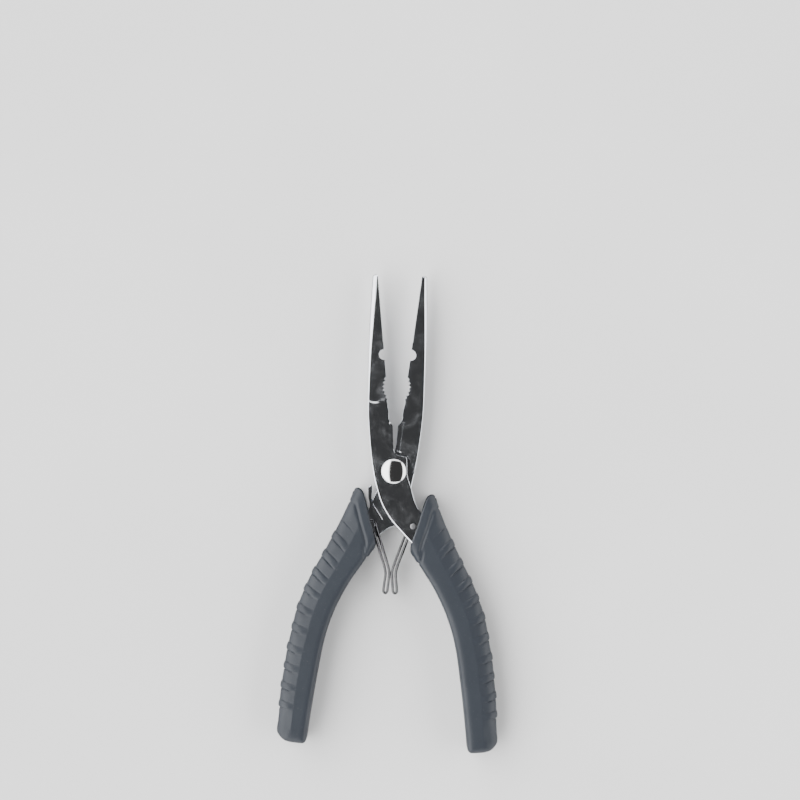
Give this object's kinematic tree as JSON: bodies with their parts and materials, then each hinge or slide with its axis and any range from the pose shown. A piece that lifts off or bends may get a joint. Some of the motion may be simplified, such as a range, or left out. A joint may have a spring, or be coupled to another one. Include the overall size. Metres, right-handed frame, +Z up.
{
  "type": "fishing pliers",
  "caption": "Stainless long-nose fishing pliers with rubber grips, a side cutter, crimp notches and hairpin springs that hold the jaws open.",
  "frame": {"origin": "under the middle of the whole object's box, on the surface that the pliers lie on", "axes": "+Y towards the nose tips, +Z up out of the surface they lie on, +X to the side of the front half's handle"},
  "size_m": [0.0762, 0.1637, 0.0126],
  "materials": {
    "forged_steel": "polished stainless steel with bright ground edges",
    "polished_steel": "mirror-polished stainless steel",
    "spring_steel": "drawn stainless spring wire, satin",
    "grip_rubber": "matte dark slate-grey moulded rubber"
  },
  "bodies": {
    "back_side": {"back_half": "forged_steel", "left_grip": "grip_rubber", "left_spring": "spring_steel", "left_spring_rivet": "polished_steel", "pivot_rivet": "polished_steel"},
    "front_side": {"front_half": "forged_steel", "right_grip": "grip_rubber", "right_spring": "spring_steel", "right_spring_rivet": "polished_steel"}
  },
  "joints": [
    {"name": "jaw_pivot", "type": "hinge", "parent": "back_side", "child": "front_side", "pos_m": [-0.00054, 0.01373, 0.0063], "axis": [0, 0, -1], "range_deg": [0, 12.6], "stiffness_Nm_per_rad": 1.5, "deforming": ["left_spring", "right_spring"]}
  ]
}
